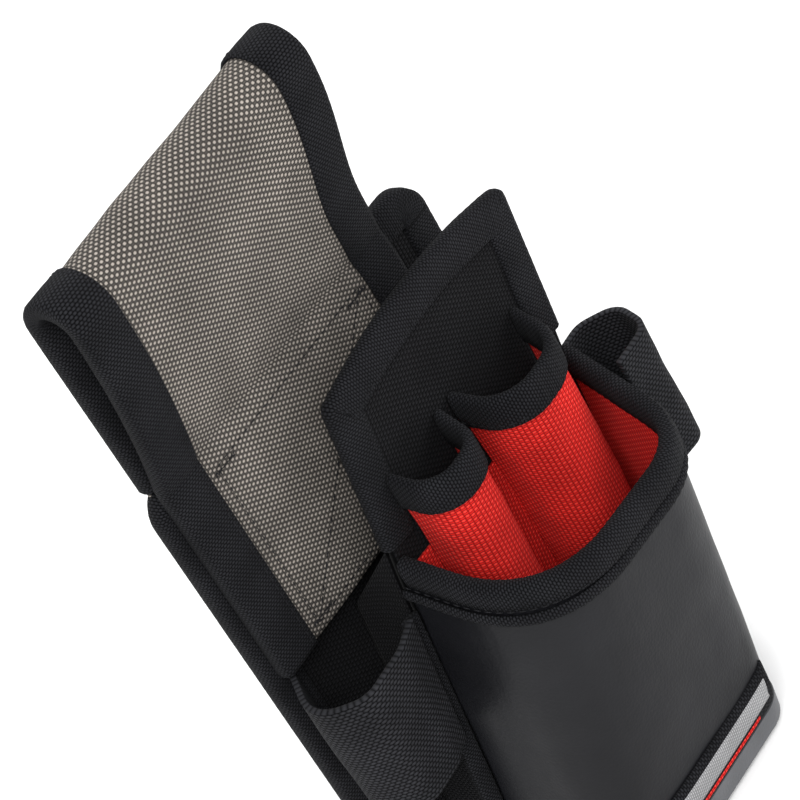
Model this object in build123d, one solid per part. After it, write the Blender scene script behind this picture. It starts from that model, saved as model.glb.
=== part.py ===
from build123d import *
import math
import os

# Electrician's tool pouch, in millimetres. +X is to the right as seen from the front, -Y points
# away from the wearer's hip, +Z is up. The origin is the middle of the belt tunnel.
# Heights below are first given from the pouch's base and shifted to the origin at the end.

# ---- driving dimensions ----
LAYER_GAP = 0.15            # air between fabric layers that are sewn together
BIND = 1.3                  # thickness of the folded binding tape
BIND_WIDTH = 12.0           # visible width of the binding on the body
WALL = 1.6                  # coated front fabric
LINING = 0.9                # red pocket lining

BELT_X = -3.5               # middle of the belt flap
BELT_Y = -10.0              # middle of the belt tunnel, front to back
BELT_Z = 254.0              # middle of the belt tunnel, above the base

FLAP_WIDTH = 117.0
FLAP_TOP = 288.0            # highest point of the fold
FLAP_END = 210.0            # lower end of both flap legs
FLAP_FOLD_R = 11.0          # outer radius of the fold
FLAP_LEAN = 11.0            # how far the front leg leans back between fold and seam
FLAP_FABRIC = 1.2
FLAP_FOAM = 1.6
FLAP_LINING = 0.8
FLAP_BIND_WIDTH = 15.0

PANEL_LEFT = -65.0
PANEL_RIGHT = 80.0
PANEL_BOTTOM = 2.0
PANEL_TOP = 209.0
PANEL_CORNER_R = 12.0
PANEL_SKIN = 1.0
STIFFENER = 1.8
STIFFENER_INSET = 4.0       # the board stops short of the panel's sewn edge
REAR_PAD = 1.6
PAD_MARGIN = 1.0            # between the pad and the panel's binding
LEG_GAP_DEPTH = 30.0        # the panel's top binding is open this far down for the grey leg

PATCH_BOTTOM = 128.0        # lower edge of the grey leg sewn to the back panel
PATCH_FRONT = -10.9
TACK_LENGTH = 10.0
TACK_HEIGHT = 1.8
TACK_THICK = 0.65
TACK_SIDE = 7.0             # from the patch's side edge
TACK_LOW = 5.0              # above the patch's lower edge
TACK_HIGH = 8.0             # below the back panel's top

DIVIDER_FRONT = -34.0
DIVIDER_THICK = 2.6
DIVIDER_TOP = 200.0
DIVIDER_CROWN = 7.0
DIVIDER_TOP_LEFT = -13.0
DIVIDER_TOP_RIGHT = 86.0
DIVIDER_BIND_LOW = 147.0    # the divider's free, bound edge starts here
LINING_MARGIN = 6.0         # the red lining runs this far above the mouth's height

MOUTH_Z = 133.0             # main mouth height at (MOUTH_X, MOUTH_Y)
MOUTH_X = 25.0
MOUTH_Y = -60.0
MOUTH_TILT_Y = 0.25         # rise of the mouth per mm towards the wearer
MOUTH_TILT_X = -0.03
MOUTH_BIND_HEIGHT = 9.0
PIPING_HEIGHT = 4.5
PIPING_OUT = 2.4

# Plan outlines run rear left, front left, front right, rear right; the two radii round the front.
POCKET_LOFT_TOP = 150.0
POCKET_BASE = [(-40.0, -35.0), (-38.0, -79.0), (49.5, -80.5), (72.0, -35.0)]
POCKET_BASE_R = (18.0, 12.0)
POCKET_MOUTH = [(-20.5, -35.0), (-17.0, -89.0), (66.0, -91.0), (79.5, -35.0)]
POCKET_MOUTH_R = (40.0, 25.0)

SLEEVE_LOW = 30.0
SLEEVE_TOP = 166.0
SLEEVE_LOFT_TOP = 176.0
SLEEVE_WALL = 1.3
SLEEVE_BIND_HEIGHT = 12.0
DRIVER_LOW = [(35.0, -36.2), (37.0, -54.0), (60.0, -54.0), (64.0, -36.2)]
DRIVER_LOW_R = (12.0, 12.0)
DRIVER_MOUTH = [(26.5, -36.2), (27.5, -60.0), (60.0, -59.0), (67.0, -36.2)]
DRIVER_MOUTH_R = (15.0, 17.0)
PEN_LOW = [(-5.0, -36.2), (-5.0, -47.0), (14.0, -47.0), (17.0, -36.2)]
PEN_LOW_R = (8.0, 8.0)
PEN_MOUTH = [(-9.0, -36.2), (-9.5, -56.5), (15.0, -55.5), (21.0, -36.2)]
PEN_MOUTH_R = (12.0, 12.0)

WEBBING = 2.2               # thickness of the side webbing
WEBBING_HEIGHT = 50.0
SEAM_FIN = 8.0              # how far the bound side seams stand out
SEAM_FIN_THICK = 3.4
LEFT_SEAM_TOP = 124.0
RIGHT_SEAM_TOP = 84.0
GUSSET_THICK = 1.4
GUSSET_REAR_TOP = 118.0     # the gusset's sloping top edge, at the back panel
GUSSET_FRONT_TOP = 145.0    # and at the divider
LEFT_LOOP_LOW = 75.0
LEFT_LOOP_PATH = [(-58.5, -6.8), (-73.0, -27.0), (-62.0, -42.0), (-46.0, -41.0), (-38.5, -35.5), (-15.0, -35.5)]
LEFT_LOOP_R = (13.0, 8.0, 7.0, 7.0)
RIGHT_LOOP_LOW = 86.0
RIGHT_LOOP_PATH = [(66.0, -32.2), (90.0, -32.2), (101.0, -42.0), (94.0, -58.0), (60.0, -57.0)]
RIGHT_LOOP_R = (8.0, 8.0, 8.0)

BOOT_HEIGHT = 8.0
BOOT_OUT = 1.7
BOOT_SHEET = 0.9            # the boot's coated bottom
FLOOR_LOW = 1.4
FLOOR_THICK = 2.4
WALL_FOOT = 4.4             # the inner fabric panels stand just clear of the floor board
SHELL_FOOT = 1.0
STRIP_LOW = 8.4
STRIP_HIGH = 24.5
STRIP_OUT = 3.2
STRIP_LEFT = -31.0
STRIP_RIGHT = 49.0
STRIP_BACK = -60.0          # the strip stays on the front wall, in front of this Y
BAND_OUT = 0.6              # the insert and stripe stand proud of the strip
BAND_THICK = 0.5
BAND_MARGIN = (3.0, 4.0, 5.2, 3.0)      # insert to strip edge: left, right, lower, upper
STRIPE_MARGIN = (5.0, 12.0)             # stripe to strip edge: left, right
STRIPE_RISE = (2.6, 4.0)                # stripe's lower and upper edge above the strip's foot

CUT = 1.0                   # a cutting solid runs this far past what it cuts
BIG = 600.0


# ---- helpers ----
def offset_corners(corners, outset, back_y):
    """Move the three walls of a plan outline outwards and end its sides at back_y."""
    walls = []
    for start, end in zip(corners, corners[1:]):
        run = Vector(*end) - Vector(*start)
        along = run.normalized()
        outward = Vector(along.Y, -along.X)
        walls.append((Vector(*start) + outward * outset, along))

    def crossing(first, second):
        (p, u), (q, v) = first, second
        turn = u.X * v.Y - u.Y * v.X
        reach = ((q.X - p.X) * v.Y - (q.Y - p.Y) * v.X) / turn
        return (p.X + u.X * reach, p.Y + u.Y * reach)

    back = (Vector(0.0, back_y), Vector(1.0, 0.0))
    lines = [back] + walls + [back]
    return [crossing(a, b) for a, b in zip(lines, lines[1:])]


def plan_face(corners, radii, outset, back_y, z):
    """A flat closed outline: straight rear, two straight sides and two rounded front corners."""
    points = offset_corners(corners, outset, back_y)
    sides = FilletPolyline(*points, radius=[r + outset for r in radii])
    face = make_face(sides + Line(points[-1], points[0]))
    return Pos(0.0, 0.0, z) * face


def pocket_core(outset, back_y):
    """The main pocket's tapering volume, grown by outset, from the base to above the mouth."""
    low = plan_face(POCKET_BASE, POCKET_BASE_R, outset, back_y, 0.0)
    high = plan_face(POCKET_MOUTH, POCKET_MOUTH_R, outset, back_y, POCKET_LOFT_TOP)
    return loft([low, high], ruled=True)


def sleeve_core(low, low_r, mouth, mouth_r, outset, back_y):
    """A tool sleeve's tapering volume, grown by outset."""
    bottom = plan_face(low, low_r, outset, back_y, SLEEVE_LOW)
    top = plan_face(mouth, mouth_r, outset, back_y, SLEEVE_LOFT_TOP)
    return loft([bottom, top], ruled=True)


def slab(low, high):
    """Everything between two heights."""
    return Pos(0.0, 0.0, (low + high) / 2) * Box(BIG, BIG, high - low)


def mouth_slab(low, high):
    """Everything between two planes parallel to the tilted main mouth."""
    plane = Plane(origin=(MOUTH_X, MOUTH_Y, MOUTH_Z), z_dir=(-MOUTH_TILT_X, -MOUTH_TILT_Y, 1.0))
    return plane * Pos(0.0, 0.0, (low + high) / 2) * Box(BIG, BIG, high - low)


def block(low, high):
    """An axis-aligned box between two corners."""
    size = [b - a for a, b in zip(low, high)]
    middle = [(a + b) / 2 for a, b in zip(low, high)]
    return Pos(*middle) * Box(*size)


# ---- belt flap ----
def flap_region(inset, x_low, x_high, end_z=FLAP_END):
    """The flap's teardrop side profile, shrunk by inset, as a solid between two X values."""
    spring_z = FLAP_TOP - FLAP_FOLD_R
    drop = spring_z - FLAP_END
    bow_r = (FLAP_LEAN ** 2 + drop ** 2) / (2 * FLAP_LEAN)
    centre_y = -2 * FLAP_FOLD_R + bow_r
    front_r = bow_r - inset

    def front_y(z):
        return centre_y - math.sqrt(front_r ** 2 - (spring_z - z) ** 2)

    rear = (-inset, end_z)
    rear_top = (-inset, spring_z)
    crown = (-FLAP_FOLD_R, FLAP_TOP - inset)
    front_top = (-2 * FLAP_FOLD_R + inset, spring_z)
    middle_z = (spring_z + end_z) / 2
    front_middle = (front_y(middle_z), middle_z)
    front = (front_y(end_z), end_z)
    outline = Line(rear, rear_top)
    outline += ThreePointArc(rear_top, crown, front_top)
    outline += ThreePointArc(front_top, front_middle, front)
    outline += Line(front, rear)
    face = Plane.YZ * make_face(outline)
    return Pos(x_low, 0.0, 0.0) * extrude(face, x_high - x_low, dir=(1, 0, 0))


def flap_layer(start, thickness, trim):
    """One layer of the folded flap, start mm in from its outer face."""
    half = FLAP_WIDTH / 2 - trim
    outer = flap_region(start, BELT_X - half, BELT_X + half)
    inner = flap_region(start + thickness, BELT_X - half - CUT, BELT_X + half + CUT, FLAP_END - CUT)
    return outer - inner


def flap_stack():
    return FLAP_FABRIC + FLAP_FOAM + FLAP_LINING + 2 * LAYER_GAP


def flap_binding(side):
    """Tape folded over one edge of all the flap's layers; side is -1 for left, 1 for right."""
    edge = BELT_X + side * FLAP_WIDTH / 2
    outside = edge + side * BIND
    inside = edge - side * FLAP_BIND_WIDTH
    x_low, x_high = sorted((outside, inside))
    tape = flap_region(-BIND, x_low, x_high) - flap_region(
        flap_stack() + BIND, x_low - CUT, x_high + CUT, FLAP_END - CUT)
    groove_low, groove_high = sorted((edge + side * LAYER_GAP, inside - side * CUT))
    groove = flap_region(-LAYER_GAP, groove_low, groove_high, FLAP_END - CUT)
    groove -= flap_region(flap_stack() + LAYER_GAP, groove_low - CUT, groove_high + CUT, FLAP_END - 2 * CUT)
    return tape - groove


# ---- back panel ----
def panel_plate(inset, y_front, y_rear):
    """The back panel's rounded outline, shrunk by inset, between two Y values."""
    width = PANEL_RIGHT - PANEL_LEFT - 2 * inset
    height = PANEL_TOP - PANEL_BOTTOM - 2 * inset
    outline = RectangleRounded(width, height, max(PANEL_CORNER_R - inset, 2.0))
    middle = ((PANEL_LEFT + PANEL_RIGHT) / 2, y_rear, (PANEL_TOP + PANEL_BOTTOM) / 2)
    return extrude(Plane(origin=middle, x_dir=(1, 0, 0), z_dir=(0, -1, 0)) * outline, y_rear - y_front)


def panel_front_y():
    return -(2 * PANEL_SKIN + STIFFENER + 2 * LAYER_GAP)


def back_panel_rear():
    return panel_plate(0.0, -PANEL_SKIN, 0.0)


def back_stiffener():
    rear = -PANEL_SKIN - LAYER_GAP
    return panel_plate(STIFFENER_INSET, rear - STIFFENER, rear)


def back_panel_front():
    return panel_plate(0.0, panel_front_y(), panel_front_y() + PANEL_SKIN)


def rear_pad():
    return panel_plate(BIND_WIDTH + PAD_MARGIN, LAYER_GAP, REAR_PAD)


def back_panel_binding():
    """Tape folded round the panel's edge, open where the grey leg crosses the top edge."""
    front = panel_front_y()
    tape = panel_plate(-BIND, front - BIND, BIND)
    tape -= panel_plate(BIND_WIDTH, front - 2 * BIND, 2 * BIND)
    tape -= panel_plate(-LAYER_GAP, front - LAYER_GAP, LAYER_GAP)
    tape -= slab(PANEL_TOP + LAYER_GAP, BIG / 2)
    half = FLAP_WIDTH / 2 - FLAP_BIND_WIDTH
    low = (BELT_X - half - CUT, -BIG / 2, PANEL_TOP - LEG_GAP_DEPTH)
    gap = block(low, (BELT_X + half + CUT, -LAYER_GAP, BIG / 2))
    return tape - gap


def flap_anchor_patch():
    """The grey front leg's lower end, sewn flat on the back panel inside the plier pocket."""
    half = FLAP_WIDTH / 2 - FLAP_BIND_WIDTH
    return block(
        (BELT_X - half, PATCH_FRONT, PATCH_BOTTOM),
        (BELT_X + half, panel_front_y() - LAYER_GAP, PANEL_TOP))


def bar_tacks():
    """Dense thread bars at the corners of the patch's box stitch."""
    half = FLAP_WIDTH / 2 - FLAP_BIND_WIDTH - TACK_SIDE
    y = PATCH_FRONT - LAYER_GAP - TACK_THICK / 2
    tacks = []
    for x in (BELT_X - half, BELT_X + half):
        for z in (PATCH_BOTTOM + TACK_LOW, PANEL_TOP - TACK_HIGH):
            tacks.append(Pos(x, y, z) * Box(TACK_LENGTH, TACK_THICK, TACK_HEIGHT))
    return Compound(children=tacks)


# ---- divider and gussets ----
def side_x(corner, z):
    """X of the pocket's rear corner at a height: 0 for the left one, 3 for the right one."""
    low = POCKET_BASE[corner][0]
    high = POCKET_MOUTH[corner][0]
    return low + (high - low) * z / POCKET_LOFT_TOP


def divider_outline(inset):
    low = WALL_FOOT
    left_low = (side_x(0, low) + inset, low)
    right_low = (side_x(3, low) - inset, low)
    right_top = (DIVIDER_TOP_RIGHT - inset, DIVIDER_TOP - inset)
    left_top = (DIVIDER_TOP_LEFT + inset, DIVIDER_TOP - inset)
    crown = ((left_top[0] + right_top[0]) / 2, DIVIDER_TOP + DIVIDER_CROWN - inset)
    left_bend = (side_x(0, MOUTH_Z) + inset, MOUTH_Z)
    right_bend = (side_x(3, MOUTH_Z) - inset, MOUTH_Z)
    outline = Line(left_low, right_low) + Line(right_low, right_bend) + Line(right_bend, right_top)
    outline += ThreePointArc(right_top, crown, left_top)
    outline += Line(left_top, left_bend) + Line(left_bend, left_low)
    return make_face(outline)


def divider_plate(inset, y_front, y_rear):
    face = Plane(origin=(0, y_rear, 0), x_dir=(1, 0, 0), z_dir=(0, -1, 0)) * divider_outline(inset)
    return extrude(face, y_rear - y_front)


def divider_panel():
    return divider_plate(0.0, DIVIDER_FRONT, DIVIDER_FRONT + DIVIDER_THICK)


def divider_binding():
    """Tape over the divider's free edge, above the main pocket's mouth."""
    rear = DIVIDER_FRONT + DIVIDER_THICK
    tape = divider_plate(-BIND, DIVIDER_FRONT - BIND, rear + BIND)
    tape -= divider_plate(BIND_WIDTH, DIVIDER_FRONT - 2 * BIND, rear + 2 * BIND)
    tape -= divider_plate(-LAYER_GAP, DIVIDER_FRONT - LAYER_GAP, rear + LAYER_GAP)
    return tape & slab(DIVIDER_BIND_LOW, BIG / 2)


def divider_lining():
    """Red fabric on the divider inside the main pocket."""
    rear = DIVIDER_FRONT - LAYER_GAP
    inset = WALL + LINING + BIND
    return divider_plate(inset, rear - LINING, rear) & slab(0.0, MOUTH_Z + LINING_MARGIN)


def side_prism(corner, start, end, z_low, z_high, y_front, y_rear):
    """A prism that follows the slanted rear corner, from start to end outwards of it in X."""
    sign = -1 if corner == 0 else 1
    low_x = side_x(corner, z_low)
    high_x = side_x(corner, z_high)
    outline = Polyline(
        (low_x + sign * start, z_low), (low_x + sign * end, z_low),
        (high_x + sign * end, z_high), (high_x + sign * start, z_high), close=True)
    face = Plane(origin=(0, y_rear, 0), x_dir=(1, 0, 0), z_dir=(0, -1, 0)) * make_face(outline)
    return extrude(face, y_rear - y_front)


def gusset(corner):
    """Slanted side wall of the plier pocket, between back panel and divider."""
    rear = panel_front_y() - BIND - LAYER_GAP
    front = DIVIDER_FRONT + DIVIDER_THICK + LAYER_GAP
    wall = side_prism(corner, -GUSSET_THICK, 0.0, WALL_FOOT, GUSSET_FRONT_TOP, front, rear)
    rise = GUSSET_FRONT_TOP - GUSSET_REAR_TOP
    slope = Plane(origin=(0, rear, GUSSET_REAR_TOP), z_dir=(0.0, rise, rear - front))
    return wall - slope * Pos(0, 0, BIG / 2) * Box(BIG, BIG, BIG)


# ---- main pocket ----
def wall_shell(outset, thickness, back_y):
    """A layer of the main pocket's U-shaped wall, open to the rear."""
    return pocket_core(outset, back_y) - pocket_core(outset - thickness, back_y)


def main_pocket_shell():
    return wall_shell(0.0, WALL, DIVIDER_FRONT - LAYER_GAP) & mouth_slab(-BIG, 0.0) & slab(SHELL_FOOT, BIG)


def main_pocket_lining():
    layer = wall_shell(-WALL - LAYER_GAP, LINING, DIVIDER_FRONT - LINING - 2 * LAYER_GAP)
    return layer & mouth_slab(-BIG, 0.0) & slab(WALL_FOOT, BIG)


def mouth_binding():
    """Tape folded over the wall and lining round the main mouth."""
    stack = WALL + LAYER_GAP + LINING
    rear = DIVIDER_FRONT - LINING - 3 * LAYER_GAP
    tape = wall_shell(BIND, stack + 2 * BIND, rear) & mouth_slab(-MOUTH_BIND_HEIGHT, BIND)
    groove = wall_shell(LAYER_GAP, stack + 2 * LAYER_GAP, rear) & mouth_slab(-BIG / 2, LAYER_GAP)
    return tape - groove


def mouth_piping():
    """The second, thinner row of tape under the mouth binding."""
    row = wall_shell(PIPING_OUT, PIPING_OUT - LAYER_GAP, DIVIDER_FRONT - LAYER_GAP)
    high = -MOUTH_BIND_HEIGHT - LAYER_GAP
    return row & mouth_slab(high - PIPING_HEIGHT, high)


def seam_binding(corner, z_high):
    """Bound seam allowance standing out sideways where the front wall meets the divider."""
    rear = DIVIDER_FRONT + 2 * LAYER_GAP
    foot = BOOT_HEIGHT + 2 * LAYER_GAP
    fin = side_prism(corner, 2 * LAYER_GAP, SEAM_FIN, foot, z_high, rear - SEAM_FIN_THICK, rear)
    return fin - pocket_core(2 * LAYER_GAP, rear + CUT)


def footprint(outset, low, high):
    """The pouch's foot between two heights: the main pocket and the plier pocket behind it."""
    join_y = DIVIDER_FRONT - LAYER_GAP
    rear_y = panel_front_y() - BIND - LAYER_GAP
    left = side_x(0, 0.0) - outset
    right = side_x(3, 0.0) + outset
    front = pocket_core(outset, join_y) & slab(low, high)
    return front + block((left, join_y, low), (right, rear_y, high))


def floor_board():
    """Stiff board under the lining, from the back panel to the front wall."""
    inset = WALL + LINING + 3 * LAYER_GAP
    return footprint(-inset, FLOOR_LOW, FLOOR_LOW + FLOOR_THICK)


def base_boot():
    """Grey coated tray round the foot of the pocket."""
    return footprint(BOOT_OUT, 0.0, BOOT_HEIGHT) - footprint(4 * LAYER_GAP, BOOT_SHEET, BOOT_HEIGHT + CUT)


def strip_layer(outset, thickness, x_low, x_high, z_low, z_high):
    """A band on the front wall, standing proud of it by outset."""
    layer = wall_shell(outset, thickness, DIVIDER_FRONT - LAYER_GAP)
    return layer & block((x_low, -BIG / 2, z_low), (x_high, STRIP_BACK, z_high))


def label_strip():
    return strip_layer(STRIP_OUT, STRIP_OUT - LAYER_GAP, STRIP_LEFT, STRIP_RIGHT, STRIP_LOW, STRIP_HIGH)


def label_band():
    """Plain grey insert on the strip."""
    left, right, lower, upper = BAND_MARGIN
    x_low, x_high = STRIP_LEFT + left, STRIP_RIGHT - right
    z_low, z_high = STRIP_LOW + lower, STRIP_HIGH - upper
    return strip_layer(STRIP_OUT + BAND_OUT, BAND_THICK, x_low, x_high, z_low, z_high)


def label_stripe():
    """Thin red line under the insert."""
    left, right = STRIPE_MARGIN
    x_low, x_high = STRIP_LEFT + left, STRIP_RIGHT - right
    z_low, z_high = [STRIP_LOW + rise for rise in STRIPE_RISE]
    return strip_layer(STRIP_OUT + BAND_OUT, BAND_THICK, x_low, x_high, z_low, z_high)


# ---- sleeves ----
def sleeve_wall(shape, outset, thickness, back_y):
    return sleeve_core(*shape, outset, back_y) - sleeve_core(*shape, outset - thickness, back_y)


def tool_sleeve(shape):
    back_y = DIVIDER_FRONT - BIND - LAYER_GAP
    upper = sleeve_wall(shape, 0.0, SLEEVE_WALL, back_y)
    return upper & slab(SLEEVE_LOW - CUT, SLEEVE_TOP)


def sleeve_binding(shape):
    back_y = DIVIDER_FRONT - BIND - LAYER_GAP
    tape = sleeve_wall(shape, BIND, SLEEVE_WALL + 2 * BIND, back_y)
    tape &= slab(SLEEVE_TOP - SLEEVE_BIND_HEIGHT, SLEEVE_TOP + BIND)
    groove = sleeve_wall(shape, LAYER_GAP, SLEEVE_WALL + 2 * LAYER_GAP, back_y)
    return tape - (groove & slab(0.0, SLEEVE_TOP + LAYER_GAP))


# ---- side loops ----
def webbing_loop(path, radii, low):
    """A vertical band of webbing along a plan path, trimmed where it meets the body."""
    centre = FilletPolyline(*path, radius=list(radii))
    band = extrude(Pos(0, 0, low) * trace(centre, WEBBING), WEBBING_HEIGHT)
    rim_low = -MOUTH_BIND_HEIGHT - PIPING_HEIGHT - 2 * LAYER_GAP
    rim = pocket_core(PIPING_OUT + LAYER_GAP, DIVIDER_FRONT) & mouth_slab(rim_low, BIG / 2)
    rear = panel_front_y()
    reach = -(POCKET_BASE[3][0] - POCKET_BASE[0][0]) / 2
    for corner in (0, 3):
        band -= side_prism(corner, reach, 2 * LAYER_GAP, 0.0, POCKET_LOFT_TOP, DIVIDER_FRONT - CUT, rear)
    band -= divider_plate(-2 * LAYER_GAP, DIVIDER_FRONT - CUT, DIVIDER_FRONT + DIVIDER_THICK + CUT)
    return band - pocket_core(2 * LAYER_GAP, DIVIDER_FRONT) - rim


def left_webbing_loop():
    """The left loop also stops at the bound seam that it is sewn into."""
    band = webbing_loop(LEFT_LOOP_PATH, LEFT_LOOP_R, LEFT_LOOP_LOW)
    fin_rear = DIVIDER_FRONT + 3 * LAYER_GAP
    fin_front = fin_rear - SEAM_FIN_THICK - 2 * LAYER_GAP
    reach = -(POCKET_BASE[3][0] - POCKET_BASE[0][0]) / 2
    return band - side_prism(0, reach, SEAM_FIN + 2 * LAYER_GAP, 0.0, POCKET_LOFT_TOP, fin_front, fin_rear)


DRIVER_SHAPE = (DRIVER_LOW, DRIVER_LOW_R, DRIVER_MOUTH, DRIVER_MOUTH_R)
PEN_SHAPE = (PEN_LOW, PEN_LOW_R, PEN_MOUTH, PEN_MOUTH_R)
FOAM_START = FLAP_FABRIC + LAYER_GAP
FLAP_LINING_START = FOAM_START + FLAP_FOAM + LAYER_GAP

nodes = {
    "flap_outer_fabric": flap_layer(0.0, FLAP_FABRIC, 0.0),
    "flap_foam": flap_layer(FOAM_START, FLAP_FOAM, 1.0),
    "flap_lining": flap_layer(FLAP_LINING_START, FLAP_LINING, 0.0),
    "flap_binding_left": flap_binding(-1),
    "flap_binding_right": flap_binding(1),
    "rear_pad": rear_pad(),
    "back_panel_rear": back_panel_rear(),
    "back_stiffener": back_stiffener(),
    "back_panel_front": back_panel_front(),
    "back_panel_binding": back_panel_binding(),
    "flap_anchor_patch": flap_anchor_patch(),
    "bar_tacks": bar_tacks(),
    "divider_panel": divider_panel(),
    "divider_binding": divider_binding(),
    "divider_lining": divider_lining(),
    "left_gusset": gusset(0),
    "right_gusset": gusset(3),
    "screwdriver_sleeve": tool_sleeve(DRIVER_SHAPE),
    "screwdriver_sleeve_binding": sleeve_binding(DRIVER_SHAPE),
    "pen_sleeve": tool_sleeve(PEN_SHAPE),
    "pen_sleeve_binding": sleeve_binding(PEN_SHAPE),
    "main_pocket_shell": main_pocket_shell(),
    "main_pocket_lining": main_pocket_lining(),
    "mouth_binding": mouth_binding(),
    "mouth_piping": mouth_piping(),
    "left_seam_binding": seam_binding(0, LEFT_SEAM_TOP),
    "right_seam_binding": seam_binding(3, RIGHT_SEAM_TOP),
    "floor_board": floor_board(),
    "base_boot": base_boot(),
    "label_strip": label_strip(),
    "label_band": label_band(),
    "label_stripe": label_stripe(),
    "left_webbing_loop": left_webbing_loop(),
    "right_webbing_loop": webbing_loop(RIGHT_LOOP_PATH, RIGHT_LOOP_R, RIGHT_LOOP_LOW),
}

os.makedirs("parts", exist_ok=True)
for name, shape in nodes.items():
    export_step(Pos(-BELT_X, -BELT_Y, -BELT_Z) * shape, f"parts/{name}.step")
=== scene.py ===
import math

import bmesh
import bpy
from mathutils import Matrix, Vector, noise


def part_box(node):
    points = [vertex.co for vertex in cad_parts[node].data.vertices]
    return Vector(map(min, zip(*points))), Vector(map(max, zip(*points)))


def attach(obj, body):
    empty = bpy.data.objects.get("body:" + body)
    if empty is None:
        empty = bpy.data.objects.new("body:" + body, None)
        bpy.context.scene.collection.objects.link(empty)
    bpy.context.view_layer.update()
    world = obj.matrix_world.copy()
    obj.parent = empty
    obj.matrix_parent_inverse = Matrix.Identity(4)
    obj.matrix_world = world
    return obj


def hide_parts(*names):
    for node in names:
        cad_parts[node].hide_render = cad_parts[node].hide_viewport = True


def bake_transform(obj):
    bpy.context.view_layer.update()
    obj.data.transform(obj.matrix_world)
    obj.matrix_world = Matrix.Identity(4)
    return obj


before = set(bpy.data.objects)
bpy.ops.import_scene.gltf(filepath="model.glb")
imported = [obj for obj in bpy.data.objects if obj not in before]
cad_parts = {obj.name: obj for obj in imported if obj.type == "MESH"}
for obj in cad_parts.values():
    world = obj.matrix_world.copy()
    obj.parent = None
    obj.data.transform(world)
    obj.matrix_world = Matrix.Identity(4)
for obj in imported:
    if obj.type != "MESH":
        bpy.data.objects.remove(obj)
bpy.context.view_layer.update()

# Lengths below are millimetres measured from the pouch's base, as its makers would measure it:
# x along the belt, y from the hip (negative is outwards), z up from the base.
MM = 0.001
TUNNEL = Vector((-3.5, -10.0, 254.0))       # the row's origin, in those coordinates


def place(point):
    """Base millimetres to the row frame's metres."""
    return (Vector(point) - TUNNEL) * MM


def node_box(node):
    """A CAD node's corners in base millimetres."""
    low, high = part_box(node)
    return Vector(low) / MM + TUNNEL, Vector(high) / MM + TUNNEL


# ---- places taken from the CAD parts ----
flap_low, flap_high = node_box("flap_outer_fabric")
panel_low, panel_high = node_box("back_panel_front")
pad_low, pad_high = node_box("rear_pad")
patch_low, patch_high = node_box("flap_anchor_patch")
divider_low, divider_high = node_box("divider_panel")
strip_low, strip_high = node_box("label_strip")
band_low, band_high = node_box("label_band")
stripe_low, stripe_high = node_box("label_stripe")
left_loop_low, left_loop_high = node_box("left_webbing_loop")
right_loop_low, right_loop_high = node_box("right_webbing_loop")

FLAP_R = 11.0
FLAP_LEAN = 11.0
FLAP_STACK = 3.9
FLAP_TAPE = 15.0
FLAP_SKEW = 4.0             # the fold's right end stands this much higher than its left
TAPE = 1.25
BODY_TAPE = 12.0
PANEL_CORNER = 12.0
PANEL_THICK = 4.1
PAD_WIDTH = 119.0
PAD_HEIGHT = 181.0
SEAM_Z = 209.5              # the seam line between the flap and the pouch
FLAP_BLEND = 6.0            # the flap's skew starts only this far above that line
REAR_LEG_END = 210.2        # where the rear leg's lining and tapes stop
REAR_CLOTH_END = 199.0      # its cloth runs on down into the panel
REAR_FOAM_END = 211.0
FOLD_STEPS = 16
PROFILE_STEP = 2.0
PATCH_BEND = 6.0            # the front leg meets the patch this far below the flap's CAD end
PINCH_DEPTH = 5.5           # the front leg's right edge draws in by this much
PINCH_Z = 236.0             # most at this height, and less and less away from it
PINCH_REACH = 24.0
STITCH_IN = 2.2             # from a tape's inner edge to its row of stitches
STITCH_SPACING = 0.6
PUCKER_PITCH = 3.4
STILL_POINTS = 4            # the last points of a section keep their distance from the fabric
ARC_STEPS = 12
DIVIDER_CROWN = 7.0
DIVIDER_TOP = 200.0
DIVIDER_LEFT = -13.0
DIVIDER_RIGHT = 86.0
DIVIDER_BEND = 133.0
DIVIDER_BOW = 1.2           # the divider's middle stands this much further out than its edges at the top
DIVIDER_TAPE_FOOT = 146.0
DIVIDER_RED_TOP = 139.0
GUSSET_TOP = 145.0          # at the divider; it falls by GUSSET_FALL towards the back panel
GUSSET_FALL = 27.0
WALL_FOOT = 4.4
LOFT_TOP = 150.0
POCKET_BASE = [(-40.0, -35.0), (-38.0, -79.0), (49.5, -80.5), (72.0, -35.0)]
POCKET_MOUTH = [(-20.5, -35.0), (-17.0, -89.0), (66.0, -91.0), (79.5, -35.0)]
BASE_R = (18.0, 12.0)
MOUTH_R = (40.0, 25.0)
MOUTH_POINT = Vector((25.0, -60.0, 133.0))
MOUTH_TILT = (-0.03, 0.25)
MOUTH_TAPE = 9.0
PIPING = 4.5
RIM_STEP = 0.85
SEAM_FOOT = 8.5
SEAM_TOPS = (124.0, 84.0)   # left and right
SEAM_STEP = 0.8
SEAM_OUT = 7.6              # from the pocket's corner to the ridge's outer edge
SEAM_Y = -33.7
FRONT_Y = -60.0             # the pocket's front wall lies beyond this
STRIP_COLUMNS = 300
SLEEVE_LOW = 30.0
SLEEVE_TOP = 166.0
SLEEVE_LOFT_TOP = 176.0
SLEEVE_SAG = 2.2            # the middle of a sleeve's mouth hangs this much below its ends
DRIVER = ([(35.0, -36.2), (37.0, -54.0), (60.0, -54.0), (64.0, -36.2)], (12.0, 12.0),
          [(26.5, -36.2), (27.5, -60.0), (60.0, -59.0), (67.0, -36.2)], (15.0, 17.0))
PEN = ([(-5.0, -36.2), (-5.0, -47.0), (14.0, -47.0), (17.0, -36.2)], (8.0, 8.0),
       [(-9.0, -36.2), (-9.5, -56.5), (15.0, -55.5), (21.0, -36.2)], (12.0, 12.0))
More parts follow.
